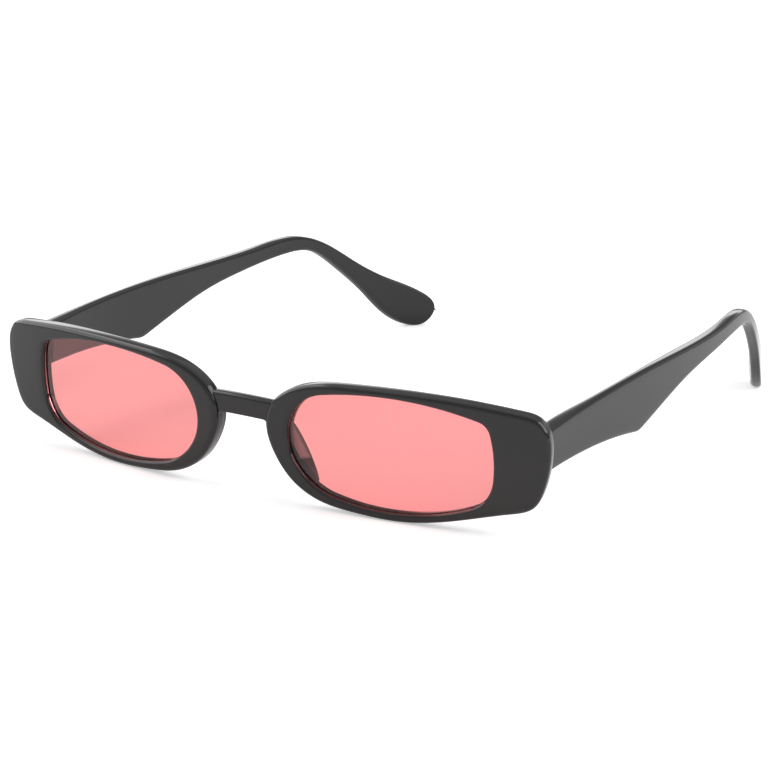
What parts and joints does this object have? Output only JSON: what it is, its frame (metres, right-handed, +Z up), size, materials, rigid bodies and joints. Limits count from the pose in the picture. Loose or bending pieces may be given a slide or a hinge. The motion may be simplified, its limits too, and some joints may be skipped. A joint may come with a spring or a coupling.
{
  "type": "sunglasses",
  "caption": "Narrow rectangle sunglasses with a moulded gloss plastic front, bowed tinted lenses and folding temples on barrel hinges.",
  "frame": {"origin": "centre of the footprint, at table height, with the temples open and the glasses resting on the rims' lower edges and the temple tips", "axes": "+X towards the wearer's left, +Y from the front back along the temples, +Z up; the front looks along -Y"},
  "size_m": [0.1414, 0.1498, 0.0291],
  "materials": {
    "frame_plastic": "polished moulded gloss black",
    "lens_tint": "clear polished pink tint",
    "hinge_steel": "stamped and rolled steel",
    "screw_steel": "plated steel"
  },
  "bodies": {
    "front": {"front_frame": "frame_plastic", "lens_left": "lens_tint", "lens_right": "lens_tint", "front_hinge_left": "hinge_steel", "front_hinge_right": "hinge_steel", "hinge_screw_left": "screw_steel", "hinge_screw_right": "screw_steel"},
    "temple_left": {"temple_left": "frame_plastic", "temple_hinge_left": "hinge_steel"},
    "temple_right": {"temple_right": "frame_plastic", "temple_hinge_right": "hinge_steel"}
  },
  "joints": [
    {"name": "temple_left_fold", "type": "hinge", "parent": "front", "child": "temple_left", "pos_m": [0.06415, -0.06135, 0.01915], "axis": [0, -0.0921, 0.9957], "range_deg": [0, 85]},
    {"name": "temple_right_fold", "type": "hinge", "parent": "front", "child": "temple_right", "pos_m": [-0.06415, -0.06135, 0.01915], "axis": [0, 0.0921, -0.9957], "range_deg": [0, 78]}
  ]
}
